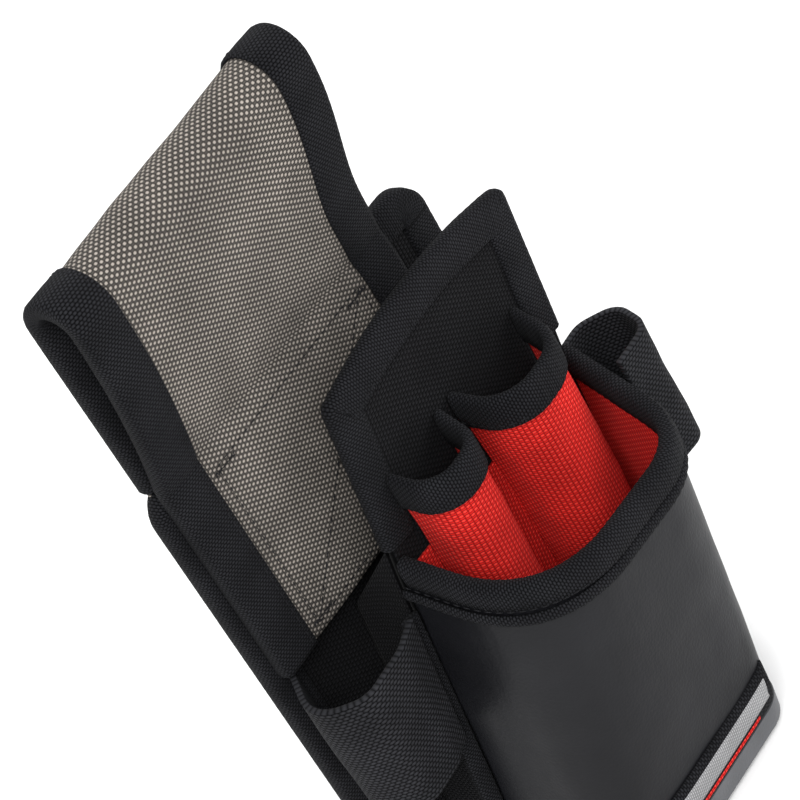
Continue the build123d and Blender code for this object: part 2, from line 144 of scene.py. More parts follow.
LEFT_LOOP = [(-58.5, -6.8), (-73.0, -27.0), (-62.0, -42.0), (-46.0, -41.0), (-36.0, -36.6)]
LEFT_LOOP_R = (13.0, 8.0, 9.0)
RIGHT_LOOP = [(77.5, -32.2), (90.0, -32.2), (101.0, -42.0), (94.0, -58.0), (76.5, -57.6)]
RIGHT_LOOP_R = (8.0, 8.0, 8.0)

# Camera and lights in metres and degrees, apart from CAMERA_AIM and FLOOR_Z, which are base millimetres
# like the rest, and the lens in millimetres.
CAMERA_AZIMUTH = -35.187
CAMERA_ELEVATION = 35.396
CAMERA_ROLL = 30.749
CAMERA_LENS = 130.65
CAMERA_AIM = (14.42, -30.0, 176.72)
CAMERA_DISTANCE = 0.9
LIGHT_AIM = (0, 0, -0.1)
LIGHTS = (("key", (-0.9, -1.1, 1.3), 1.0, 30.0),       # name, place, size, power
          ("fill", (1.3, -0.9, 0.7), 1.2, 13.0),
          ("rim", (0.2, 1.2, 1.1), 1.0, 12.0))
WORLD_STRENGTH = 0.75
FLOOR_Z = -3.0

UP = Vector((0.0, 0.0, 1.0))
OUTWARD = Vector((0.0, -1.0, 0.0))


# ---- curves ----
def rounded(points, radii, step=1.5):
    """An open path through the corners, rounded by the radii, as evenly spaced plan points."""
    points = [Vector(p) for p in points]
    dense = [points[0]]
    for before, corner, after, radius in zip(points, points[1:], points[2:], radii):
        into = (before - corner).normalized()
        out = (after - corner).normalized()
        half = into.angle(out) / 2
        reach = radius / math.tan(half)
        centre = corner + (into + out).normalized() * (radius / math.sin(half))
        start = corner + into * reach - centre
        arc = math.pi - 2 * half
        turn = 1.0 if into.x * out.y - into.y * out.x < 0 else -1.0
        for k in range(ARC_STEPS + 1):
            angle = turn * arc * k / ARC_STEPS
            dense.append(centre + Vector((
                start.x * math.cos(angle) - start.y * math.sin(angle),
                start.x * math.sin(angle) + start.y * math.cos(angle))))
    dense.append(points[-1])
    return resample(dense, step)


def resample(points, step=None, count=None):
    """Points evenly spaced along a polyline."""
    lengths = [0.0]
    for a, b in zip(points, points[1:]):
        lengths.append(lengths[-1] + (b - a).length)
    count = count or max(2, int(round(lengths[-1] / step)) + 1)
    result = []
    i = 0
    for k in range(count):
        want = lengths[-1] * k / (count - 1)
        while i < len(lengths) - 2 and lengths[i + 1] < want:
            i += 1
        span = max(lengths[i + 1] - lengths[i], 1e-9)
        result.append(points[i].lerp(points[i + 1], (want - lengths[i]) / span))
    return result


def direction(points, k):
    """Unit direction of a polyline at its point k."""
    return (points[min(k + 1, len(points) - 1)] - points[max(k - 1, 0)]).normalized()


def tapered(low, low_r, high, high_r, z_low, z_high, count):
    """A function of (column, z) that gives a point on a wall lofted between two outlines."""
    foot = resample(rounded(low, low_r, 0.5), count=count)
    head = resample(rounded(high, high_r, 0.5), count=count)

    def wall(column, z):
        p = foot[column].lerp(head[column], (z - z_low) / (z_high - z_low))
        return Vector((p.x, p.y, z))

    return wall


def mouth_z(point, drop=0.0):
    """Height of the tilted main mouth over a plan point."""
    rise_x = (point.x - MOUTH_POINT.x) * MOUTH_TILT[0]
    rise_y = (point.y - MOUTH_POINT.y) * MOUTH_TILT[1]
    return MOUTH_POINT.z + rise_x + rise_y - drop


def side_x(corner, z):
    """X of the pocket's outline at one of its plan corners, 0 (left) or 3 (right), and a height."""
    return POCKET_BASE[corner][0] + (POCKET_MOUTH[corner][0] - POCKET_BASE[corner][0]) * z / LOFT_TOP


# ---- mesh makers ----
def add_mesh(name, verts, faces, uvs, material):
    """Verts in base millimetres and, for every corner of every face, a cloth coordinate in millimetres."""
    mesh = bpy.data.meshes.new(name)
    mesh.from_pydata([place(v) for v in verts], [], faces)
    layer = mesh.uv_layers.new(name="cloth")
    for polygon in mesh.polygons:
        polygon.use_smooth = True
        for loop in polygon.loop_indices:
            layer.data[loop].uv = uvs[mesh.loops[loop].vertex_index]
    mesh.materials.append(material)
    mesh.validate()
    obj = bpy.data.objects.new(name, mesh)
    bpy.context.scene.collection.objects.link(obj)
    return obj


def grid_normals(grid):
    rows, columns = len(grid), len(grid[0])
    normals = []
    for r in range(rows):
        line = []
        for c in range(columns):
            along = grid[r][min(c + 1, columns - 1)] - grid[r][max(c - 1, 0)]
            up = grid[min(r + 1, rows - 1)][c] - grid[max(r - 1, 0)][c]
            line.append(along.cross(up).normalized())
        normals.append(line)
    return normals


def cloth(name, grid, thickness, material, soft=0.0, size=28.0, puff=None):
    """A closed piece of fabric over a grid of points. The grid's front is its columns turned to its rows."""
    rows, columns = len(grid), len(grid[0])
    normals = grid_normals(grid)
    verts, uvs, faces = [], [], []
    v_run = [0.0]
    for r in range(1, rows):
        v_run.append(v_run[-1] + (grid[r][columns // 2] - grid[r - 1][columns // 2]).length)
    u_run = [0.0]
    for c in range(1, columns):
        u_run.append(u_run[-1] + (grid[rows // 2][c] - grid[rows // 2][c - 1]).length)
    for side in (0.5, -0.5):
        for r in range(rows):
            for c in range(columns):
                p = grid[r][c]
                lift = soft * noise.noise(p / size) + 0.35 * soft * noise.noise(p / (size * 0.35))
                if puff:
                    lift += puff(c / (columns - 1), r / (rows - 1))
                verts.append(p + normals[r][c] * (side * thickness + lift))
                uvs.append((u_run[c], v_run[r]))
    back = rows * columns
    for r in range(rows - 1):
        for c in range(columns - 1):
            a = r * columns + c
            faces.append((a, a + 1, a + 1 + columns, a + columns))
            faces.append((back + a + columns, back + a + 1 + columns, back + a + 1, back + a))
    rim = [(0, c) for c in range(columns)] + [(r, columns - 1) for r in range(1, rows)]
    rim += [(rows - 1, c) for c in range(columns - 2, -1, -1)] + [(r, 0) for r in range(rows - 2, 0, -1)]
    rim = [r * columns + c for r, c in rim]
    for a, b in zip(rim, rim[1:] + rim[:1]):
        faces.append((b, a, back + a, back + b))
    return add_mesh(name, verts, faces, uvs, material)


def tape_profile(width, depth, thick):
    """Half of a folded tape's outline is outside, half inside: a closed U. (in, out) offsets."""
    lip = thick * 0.5
    outside = [(-width, thick * 0.35), (-width + lip, thick), (-width * 0.5, thick * 1.12), (-lip, thick)]
    fold = [(thick * 0.75, thick * 0.45), (thick, -depth / 2), (thick * 0.75, -depth - thick * 0.45)]
    under = [(-lip, -depth - thick), (-width * 0.5, -depth - thick * 1.12), (-width + lip, -depth - thick)]
    under.append((-width, -depth - thick * 0.35))
    inside = [(-width, -depth - 0.05), (-0.1, -depth - 0.05), (-0.1, 0.05), (-width, 0.05)]
    return outside + fold + under + inside


def sweep(name, path, ins, outs, profile, material, closed=False, pucker=0.12):
    """A closed section carried along a path; ins points off the piece's edge, outs out of its face."""
    count = len(profile)
    verts, uvs, faces = [], [], []
    run = 0.0
    across = [0.0]
    for a, b in zip(profile, profile[1:]):
        across.append(across[-1] + math.hypot(b[0] - a[0], b[1] - a[1]))
    for k, p in enumerate(path):
        if k:
            run += (p - path[k - 1]).length
        wave = pucker * math.sin(2 * math.pi * run / PUCKER_PITCH) + 0.25 * noise.noise(p / 9.0)
        for j, (a, b) in enumerate(profile):
            swell = 1.0 + wave * (0.5 if j < count - STILL_POINTS else 0.0) / max(abs(b), 1.0)
            verts.append(p + ins[k] * a + outs[k] * (b * swell))
            uvs.append((run, across[j]))
    rings = len(path)
    for k in range(rings if closed else rings - 1):
        for j in range(count):
            a, b = k * count + j, k * count + (j + 1) % count
            c, d = ((k + 1) % rings) * count + (j + 1) % count, ((k + 1) % rings) * count + j
            faces.append((a, b, c, d))
    if not closed:
        faces.append(tuple(range(count - 1, -1, -1)))
        faces.append(tuple((rings - 1) * count + j for j in range(count)))
    obj = add_mesh(name, verts, faces, uvs, material)
    fix_normals(obj)
    return obj


def fix_normals(obj):
    work = bmesh.new()
    work.from_mesh(obj.data)
    bmesh.ops.recalc_face_normals(work, faces=work.faces)
    work.to_mesh(obj.data)
    work.free()


def stitches(name, path, outs, material, length=2.5, gap=1.2, radius=0.24, lift=0.08):
    """A row of thread stitches lying on a surface."""
    points = resample(path, STITCH_SPACING)
    lookup = resample(outs, count=len(points))
    verts, uvs, faces = [], [], []
    step = int(round((length + gap) / STITCH_SPACING))
    body = int(round(length / STITCH_SPACING))
    ring, spans = 6, 4
    for start in range(0, len(points) - body, step):
        base = len(verts)
        along = (points[start + body] - points[start]).normalized()
        out = lookup[start].normalized()
        side = along.cross(out)
        for k in range(spans + 1):
            t = k / spans
            middle = points[start].lerp(points[start + body], t)
            fat = radius * (0.35 + 0.65 * math.sin(math.pi * t))
            middle += out * (lift * math.sin(math.pi * t))
            for j in range(ring):
                angle = 2 * math.pi * j / ring
                verts.append(middle + side * (math.cos(angle) * fat) + out * (math.sin(angle) * fat))
                uvs.append((t * length, j))
        for k in range(spans):
            for j in range(ring):
                a, b = base + k * ring + j, base + k * ring + (j + 1) % ring
                faces.append((a, b, b + ring, a + ring))
        faces.append(tuple(base + j for j in range(ring - 1, -1, -1)))
        faces.append(tuple(base + spans * ring + j for j in range(ring)))
    return add_mesh(name, verts, faces, uvs, material)


# ---- materials ----
class Nodes:
    """Short names for the shader nodes of one material."""

    def __init__(self, name):
        self.material = bpy.data.materials.new(name)
        self.material.use_nodes = True
        self.tree = self.material.node_tree
        self.shader = self.tree.nodes["Principled BSDF"]

    def add(self, kind, **settings):
        node = self.tree.nodes.new(kind)
        for key, value in settings.items():
            setattr(node, key, value)
        return node

    def link(self, source, target):
        self.tree.links.new(source, target)

    def math(self, operation, a, b=None):
        node = self.add("ShaderNodeMath", operation=operation)
        for socket, value in zip(node.inputs, (a, b)):
            if value is None:
                continue
            if isinstance(value, (int, float)):
                socket.default_value = value
            else:
                self.link(value, socket)
        return node.outputs[0]

    def cloth_uv(self):
        uv = self.add("ShaderNodeUVMap", uv_map="cloth")
        split = self.add("ShaderNodeSeparateXYZ")
        self.link(uv.outputs[0], split.inputs[0])
        return split.outputs[0], split.outputs[1]

    def noise(self, scale, detail=3.0):
        where = self.add("ShaderNodeTexCoord")
        texture = self.add("ShaderNodeTexNoise")
        texture.inputs["Scale"].default_value = scale
        texture.inputs["Detail"].default_value = detail
        self.link(where.outputs["Object"], texture.inputs["Vector"])
        return texture.outputs["Fac"]

    def ramp(self, value, stops):
        node = self.add("ShaderNodeValToRGB")
        node.color_ramp.elements[0].position = stops[0][0]
        node.color_ramp.elements[0].color = (*stops[0][1], 1.0)
        node.color_ramp.elements[1].position = stops[-1][0]
        node.color_ramp.elements[1].color = (*stops[-1][1], 1.0)
        for position, colour in stops[1:-1]:
            node.color_ramp.elements.new(position).color = (*colour, 1.0)
        self.link(value, node.inputs[0])
        return node.outputs[0]

    def mix(self, factor, a, b, blend="MIX"):
        node = self.add("ShaderNodeMix", data_type="RGBA", blend_type=blend)
        if isinstance(factor, (int, float)):
            node.inputs[0].default_value = factor
        else:
            self.link(factor, node.inputs[0])
        self.link(a, node.inputs[6])
        self.link(b, node.inputs[7])
        return node.outputs[2]

    def roughness(self, value, low, high):
        node = self.add("ShaderNodeMapRange")
        node.inputs[3].default_value, node.inputs[4].default_value = low, high
        self.link(value, node.inputs[0])
        self.link(node.outputs[0], self.shader.inputs["Roughness"])

    def bump(self, height, distance):
        node = self.add("ShaderNodeBump")
        node.inputs["Strength"].default_value = 1.0
        node.inputs["Distance"].default_value = distance
        self.link(height, node.inputs["Height"])
        self.link(node.outputs[0], self.shader.inputs["Normal"])


def woven(name, recess_shade, warp, weft, pitch, depth):
    """Ballistic plain weave from crossing yarns half as wide again as high, with painted shade in the gaps
    between the yarns, and worn and dusty patches.
    """
    n = Nodes(name)
    u, v = n.cloth_uv()
    u, v = n.math("DIVIDE", u, pitch * 1.5), n.math("DIVIDE", v, pitch)
    across = n.math("ABSOLUTE", n.math("SINE", n.math("MULTIPLY", u, math.pi)))
    along = n.math("ABSOLUTE", n.math("SINE", n.math("MULTIPLY", v, math.pi)))
    cell = n.math("ADD", n.math("FLOOR", u), n.math("FLOOR", v))
    parity = n.math("MODULO", n.math("ABSOLUTE", cell), 2.0)
    over = n.math("GREATER_THAN", parity, 0.5)
    under = n.math("SUBTRACT", 1.0, over)
    warp_height = n.math("MULTIPLY", across, n.math("POWER", along, 0.35))
    weft_height = n.math("MULTIPLY", along, n.math("POWER", across, 0.35))
    height = n.math("ADD", n.math("MULTIPLY", warp_height, over), n.math("MULTIPLY", weft_height, under))
    # The yarns' low edges, in the gaps between them, take painted shade.
    warp_colour = n.ramp(height, [(0.08, recess_shade), (0.75, warp)])
    weft_colour = n.ramp(height, [(0.08, recess_shade), (0.75, weft)])
    colour = n.mix(over, weft_colour, warp_colour)
    patch = n.ramp(n.noise(55.0), [(0.3, (0.72, 0.72, 0.72)), (0.7, (1.0, 1.0, 1.0))])
    n.link(n.mix(1.0, colour, patch, "MULTIPLY"), n.shader.inputs["Base Color"])
    fuzz = n.noise(900.0, 2.0)
    n.roughness(fuzz, 0.72, 0.92)
    n.shader.inputs["Sheen Weight"].default_value = 0.02
    n.shader.inputs["Sheen Roughness"].default_value = 0.5
    n.shader.inputs["Specular IOR Level"].default_value = 0.05
    n.bump(n.math("ADD", height, n.math("MULTIPLY", fuzz, 0.25)), depth)
    return n.material


def ribbed(name, recess_shade, light, pitch, cell, depth, lengthwise=False):
    """Ribbed tape or webbing: ribs across its length, or along it, broken into small woven cells, with
    painted shade in the grooves between them.
    """
    n = Nodes(name)
    u, v = n.cloth_uv()
    if lengthwise:
        u, v = v, u
    u, v = n.math("DIVIDE", u, pitch), n.math("DIVIDE", v, cell)
    rib = n.math("POWER", n.math("ABSOLUTE", n.math("SINE", n.math("MULTIPLY", u, math.pi))), 0.6)
    stagger = n.math("MULTIPLY", n.math("FLOOR", u), 0.5)
    knot = n.math("ABSOLUTE", n.math("SINE", n.math("MULTIPLY", n.math("ADD", v, stagger), math.pi)))
    height = n.math("MULTIPLY", rib, n.math("ADD", 0.3, n.math("MULTIPLY", knot, 0.7)))
    # The grooves between ribs and cells take painted shade; the rib tops take the tape's own colour.
    colour = n.ramp(height, [(0.2, recess_shade), (0.95, light)])
    patch = n.ramp(n.noise(70.0), [(0.35, (0.7, 0.7, 0.7)), (0.7, (1.0, 1.0, 1.0))])
    n.link(n.mix(1.0, colour, patch, "MULTIPLY"), n.shader.inputs["Base Color"])
    fuzz = n.noise(800.0, 2.0)
    n.roughness(fuzz, 0.66, 0.88)
    n.shader.inputs["Sheen Weight"].default_value = 0.015
    n.shader.inputs["Specular IOR Level"].default_value = 0.04
    n.bump(n.math("ADD", height, n.math("MULTIPLY", fuzz, 0.3)), depth)
    return n.material


def coated(name, low, high, rough, grain=900.0, depth=0.00006):
    """Smooth coated fabric: fine pebble grain, soft sheen, scuffed lighter in places."""
    n = Nodes(name)
    where = n.add("ShaderNodeTexCoord")
    cells = n.add("ShaderNodeTexVoronoi")
    cells.inputs["Scale"].default_value = grain
    n.link(where.outputs["Object"], cells.inputs["Vector"])
    blotch = n.noise(30.0)
    n.link(n.ramp(blotch, [(0.3, low), (0.75, high)]), n.shader.inputs["Base Color"])
    n.roughness(n.noise(140.0), *rough)
    n.shader.inputs["Specular IOR Level"].default_value = 0.2
    n.bump(n.math("ADD", cells.outputs["Distance"], n.math("MULTIPLY", blotch, 2.0)), depth)
    return n.material


# woven: name, painted shade between the yarns, warp, weft, pitch in mm, bump in m
GREY = woven("grey_ballistic", (0.018, 0.016, 0.015), (0.39, 0.35, 0.31), (0.08, 0.073, 0.066),
             0.95, 0.0003)
BLACK = woven("black_ballistic", (0.0008, 0.0008, 0.001), (0.016, 0.016, 0.018), (0.006, 0.006, 0.007),
              0.95, 0.0003)
RED = woven("red_fabric", (0.3, 0.004, 0.004), (1.0, 0.055, 0.042), (0.74, 0.018, 0.015), 0.95, 0.0003)
LINER = woven("tunnel_lining", (0.001, 0.001, 0.001), (0.012, 0.012, 0.013), (0.006, 0.006, 0.007),
              0.7, 0.0002)
LABEL = woven("label_grey", (0.12, 0.12, 0.12), (0.52, 0.52, 0.53), (0.38, 0.38, 0.39), 0.6, 0.0002)
# ribbed: name, painted shade in the grooves, light, pitch and cell in mm, bump in m
TAPE_BLACK = ribbed("binding_tape", (0.0006, 0.0006, 0.0008), (0.024, 0.0245, 0.028), 0.95, 1.6, 0.0003)
WEBBING = ribbed("webbing", (0.0008, 0.0008, 0.001), (0.034, 0.0345, 0.039), 1.3, 2.1, 0.0003,
                 lengthwise=True)
THREAD = ribbed("thread", (0.003, 0.003, 0.0035), (0.045, 0.045, 0.05), 0.5, 0.5, 0.0001)
# coated: name, low, high, range of roughness
COATED = coated("coated_fabric", (0.0055, 0.0056, 0.007), (0.0092, 0.0095, 0.0115), (0.42, 0.54))
BOOT = coated("boot_coating", (0.085, 0.087, 0.093), (0.13, 0.132, 0.14), (0.45, 0.6))
BOARD = coated("stiffener_board", (0.03, 0.03, 0.033), (0.05, 0.05, 0.054), (0.4, 0.55), grain=300.0)
FOAM = coated("foam", (0.02, 0.02, 0.02), (0.04, 0.04, 0.04), (0.8, 0.95), grain=1400.0, depth=0.0002)


def finish_piece(obj, body, slot, *nodes):
    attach(obj, body)
    if nodes:
        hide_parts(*nodes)


def bend_piece(obj, slot, *nodes):
    """A piece of the flap, whose lower end is sewn to the pouch: its transform goes into its mesh and the CAD
    nodes it stands for are hidden.
    """
    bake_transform(obj)
    if nodes:
        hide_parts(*nodes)


def declare_sheet(grid):
    """Work out what this cloth was cut to: its widest row, its longest column and its flat area. Nothing is
    done with them.
    """
    across = max(sum((b - a).length for a, b in zip(row, row[1:])) for row in grid)
    columns = list(zip(*grid))
    along = max(sum((b - a).length for a, b in zip(column, column[1:])) for column in columns)
    area = 0.0
    for row, above in zip(grid, grid[1:]):
        for a, b, c, d in zip(row, row[1:], above[1:], above):
            area += ((c - a).cross(d - b)).length / 2
    area = min(area, across * along)


# ---- belt flap ----
def flap_profile(inset, rear_end, front_end, step=PROFILE_STEP):
    """Side profile of the flap as (y, z), rear leg up, over the fold and down the bowed front leg."""
    spring = flap_high.z - FLAP_R
    drop = spring - flap_low.z
    bow = (FLAP_LEAN ** 2 + drop ** 2) / (2 * FLAP_LEAN)
    radius = FLAP_R - inset
    points = [Vector((-inset, rear_end)), Vector((-inset, spring))]
    for k in range(1, FOLD_STEPS + 1):
        angle = math.pi * k / FOLD_STEPS
        points.append(Vector((-FLAP_R + radius * math.cos(angle), spring + radius * math.sin(angle))))
    z = spring
    while z - PROFILE_STEP > max(front_end, flap_low.z):
        z -= PROFILE_STEP
        y = -2 * FLAP_R + bow - math.sqrt((bow - inset) ** 2 - (spring - z) ** 2)
        points.append(Vector((y, z)))
    if front_end < flap_low.z:
        points.append(Vector((patch_low.y - 0.4 + inset, flap_low.z - PATCH_BEND)))
        points.append(Vector((patch_low.y - 0.2 + inset, front_end)))
    return resample(points, step)


def flap_grid(inset, trim, rear_end, front_end, columns=60):
    profile = flap_profile(inset, rear_end, front_end)
    rows = []
    for p in profile:
        left, right = flap_low.x + trim, flap_high.x - trim
        if p.x < -FLAP_R:
            right -= pinch_at(p.y)
        rows.append([skewed(right + (left - right) * c / (columns - 1), p) for c in range(columns)])
    return rows


def skewed(x, profile_point):
    """A flap point, raised towards the fold's right end and not at all at the seam."""
    y, z = profile_point
    across = (x - flap_low.x) / (flap_high.x - flap_low.x)
    up = max(0.0, (z - SEAM_Z - FLAP_BLEND) / (flap_high.z - SEAM_Z - FLAP_BLEND))
    return Vector((x, y, z + FLAP_SKEW * across * up))


def pinch_at(z):
    """How far the front leg's right edge draws in just above the pocket."""
    return PINCH_DEPTH * math.exp(-((z - PINCH_Z) / PINCH_REACH) ** 2)


def make_flap():
    foot = patch_low.z
    grid = flap_grid(inset=0.6, trim=0.6, rear_end=REAR_CLOTH_END, front_end=foot)
    outer = cloth("flap_cloth", grid, 1.2, GREY, soft=0.7, size=34.0)
    fix_normals(outer)
    bend_piece(outer, "grey_ballistic", "flap_outer_fabric", "flap_anchor_patch")
    declare_sheet(grid)
    core_grid = flap_grid(inset=2.1, trim=1.6, rear_end=REAR_FOAM_END, front_end=foot + 1.0)
    core = cloth("flap_padding", core_grid, 1.5, FOAM)
    fix_normals(core)
    bend_piece(core, "foam", "flap_foam")
    lining_grid = flap_grid(inset=3.5, trim=0.8, rear_end=REAR_LEG_END, front_end=foot)
    lining = cloth("flap_tunnel_lining", lining_grid, 0.7, LINER, soft=0.3)
    fix_normals(lining)
    bend_piece(lining, "tunnel_lining", "flap_lining")
    declare_sheet(lining_grid)
    for side, edge_x, name in ((-1, flap_low.x, "left"), (1, flap_high.x, "right")):
        profile = flap_profile(0.0, REAR_LEG_END, foot, RIM_STEP)
        path, outs = [], []
        for k, p in enumerate(profile):
            tangent = direction(profile, k)
            pinch = pinch_at(p.y) if side > 0 and p.x < -FLAP_R else 0.0
            path.append(skewed(edge_x - pinch, p))
            outs.append(Vector((0.0, tangent.y, -tangent.x)))
        ins = [Vector((side, 0.0, 0.0))] * len(path)
        section = tape_profile(FLAP_TAPE, FLAP_STACK, TAPE)
        tape = sweep(f"flap_tape_{name}", path, ins, outs, section, TAPE_BLACK)
        bend_piece(tape, "binding_tape", f"flap_binding_{name}")
        seam = [p - ins[0] * (FLAP_TAPE - STITCH_IN) + o * (TAPE * 1.05) for p, o in zip(path, outs)]
        row = stitches(f"flap_stitches_{name}", seam, outs, THREAD)
        bend_piece(row, "thread")


# ---- back panel ----
def rectangle_grid(low_x, high_x, low_z, high_z, y, face, columns, rows):
    """A flat grid; face is -1 when its front looks away from the hip."""
    grid = []
    for r in range(rows):
        z = low_z + (high_z - low_z) * r / (rows - 1)
        line = [Vector((low_x + (high_x - low_x) * c / (columns - 1), y, z)) for c in range(columns)]
        grid.append(line if face < 0 else line[::-1])
    return grid


def rounded_loop(inset, y, step):
    """The back panel's rounded outline as a closed ring of points with outward directions."""
    radius = PANEL_CORNER - inset
    low_x, high_x = panel_low.x + inset, panel_high.x - inset
    low_z, high_z = panel_low.z + inset, panel_high.z - inset
    ring = []
    corners = ((high_x - radius, high_z - radius, 0), (low_x + radius, high_z - radius, 90),
               (low_x + radius, low_z + radius, 180), (high_x - radius, low_z + radius, 270))
    for x, z, start in corners:
        for k in range(ARC_STEPS + 1):
            angle = math.radians(start + 90 * k / ARC_STEPS)
            ring.append(Vector((x + radius * math.cos(angle), y, z + radius * math.sin(angle))))
    ring.append(ring[0].copy())
    ring = resample(ring, step)[:-1]
    outward = []
    for k in range(len(ring)):
        along = (ring[(k + 1) % len(ring)] - ring[k - 1]).normalized()
        outward.append(Vector((along.z, 0.0, -along.x)))
    return ring, outward


def make_back():
    inset = 4.0
    for name, y, face, node in (("back_cloth_front", -PANEL_THICK + 0.5, -1, "back_panel_front"),
                                ("back_cloth_rear", -0.5, 1, "back_panel_rear")):
        grid = rectangle_grid(panel_low.x + inset, panel_high.x - inset,
                              panel_low.z + inset, panel_high.z - inset, y, face, 60, 84)
        piece = cloth(name, grid, 1.0, BLACK, soft=0.35)
        finish_piece(piece, "pouch", "black_ballistic", node)
        declare_sheet(grid)
    grid = rectangle_grid(pad_low.x, pad_high.x, pad_low.z, pad_high.z, 0.85, 1, 50, 76)

    def crown(u, v):
        edge = min(u, 1 - u) * PAD_WIDTH, min(v, 1 - v) * PAD_HEIGHT
        return 0.9 * (1 - math.exp(-min(edge) / 9.0)) - 0.45

    pad = cloth("rear_cushion", grid, 1.3, BLACK, soft=0.25, puff=crown)
    finish_piece(pad, "pouch", "black_ballistic", "rear_pad")
    ring, outward = rounded_loop(0.0, 0.0, 0.9)
    outs = [-OUTWARD] * len(ring)
    section = tape_profile(BODY_TAPE, PANEL_THICK, TAPE)
    tape = sweep("back_tape", ring, outward, outs, section, TAPE_BLACK, closed=True)
    finish_piece(tape, "pouch", "binding_tape", "back_panel_binding")
    for y, out, name in ((TAPE, -OUTWARD, "rear"), (-PANEL_THICK - TAPE, OUTWARD, "front")):
        seam = [p - o * (BODY_TAPE - STITCH_IN) + Vector((0, y, 0)) for p, o in zip(ring, outward)]
        row = stitches(f"back_stitches_{name}", seam, [out] * len(seam), THREAD)
        finish_piece(row, "pouch", "thread")
    half = (patch_high.x - patch_low.x) / 2 - 4.0
    middle_x = (patch_high.x + patch_low.x) / 2
    low_z, high_z = patch_low.z + 4.0, patch_high.z - 6.0
    y = patch_low.y - 1.0
    corners = [(-half, low_z), (half, low_z), (half, high_z), (-half, high_z), (-half, low_z),
               (half, high_z)]
    path = [Vector((middle_x + x, y, z)) for x, z in corners]
    box_stitch = stitches("patch_box_stitch", path, [OUTWARD] * len(path), THREAD)
    finish_piece(box_stitch, "pouch", "thread")
    centres = [(x, z) for x in (-half + 3.0, half - 3.0) for z in (low_z + 1.0, high_z - 2.0)]
    for k, (x, z) in enumerate(centres):
        zigzag = [Vector((middle_x + x - 5.0 + j * 0.65, y, z + (0.9 if j % 2 else -0.9))) for j in range(16)]
        piece = stitches(f"bar_tack_{k + 1}", zigzag, [OUTWARD] * 16, THREAD, length=1.8, gap=0.0)
        finish_piece(piece, "pouch", "thread", "bar_tacks")


# ---- divider ----
def divider_edge(side, z, inset):
    """X of the divider's left (-1) or right (1) edge at a height."""
    corner = 0 if side < 0 else 3
    top = DIVIDER_LEFT if side < 0 else DIVIDER_RIGHT
    if z <= DIVIDER_BEND:
        x = side_x(corner, z)
    else:
        low = side_x(corner, DIVIDER_BEND)
        x = low + (top - low) * (z - DIVIDER_BEND) / (DIVIDER_TOP - DIVIDER_BEND)
    return x - side * inset


def divider_grid(y, z_top, inset, crown, columns=64, rows=90):
    grid = []
    for r in range(rows):
        t = r / (rows - 1)
        z = WALL_FOOT + (z_top - inset - WALL_FOOT) * t
        left, right = divider_edge(-1, z, inset), divider_edge(1, z, inset)
        line = []
        for c in range(columns):
            u = c / (columns - 1)
            lift = crown * (1 - (2 * u - 1) ** 2) * t ** 6
            bow = -DIVIDER_BOW * math.sin(math.pi * u) * t ** 2
            line.append(Vector((left + (right - left) * u, y + bow, z + lift)))
        grid.append(line)
    return grid


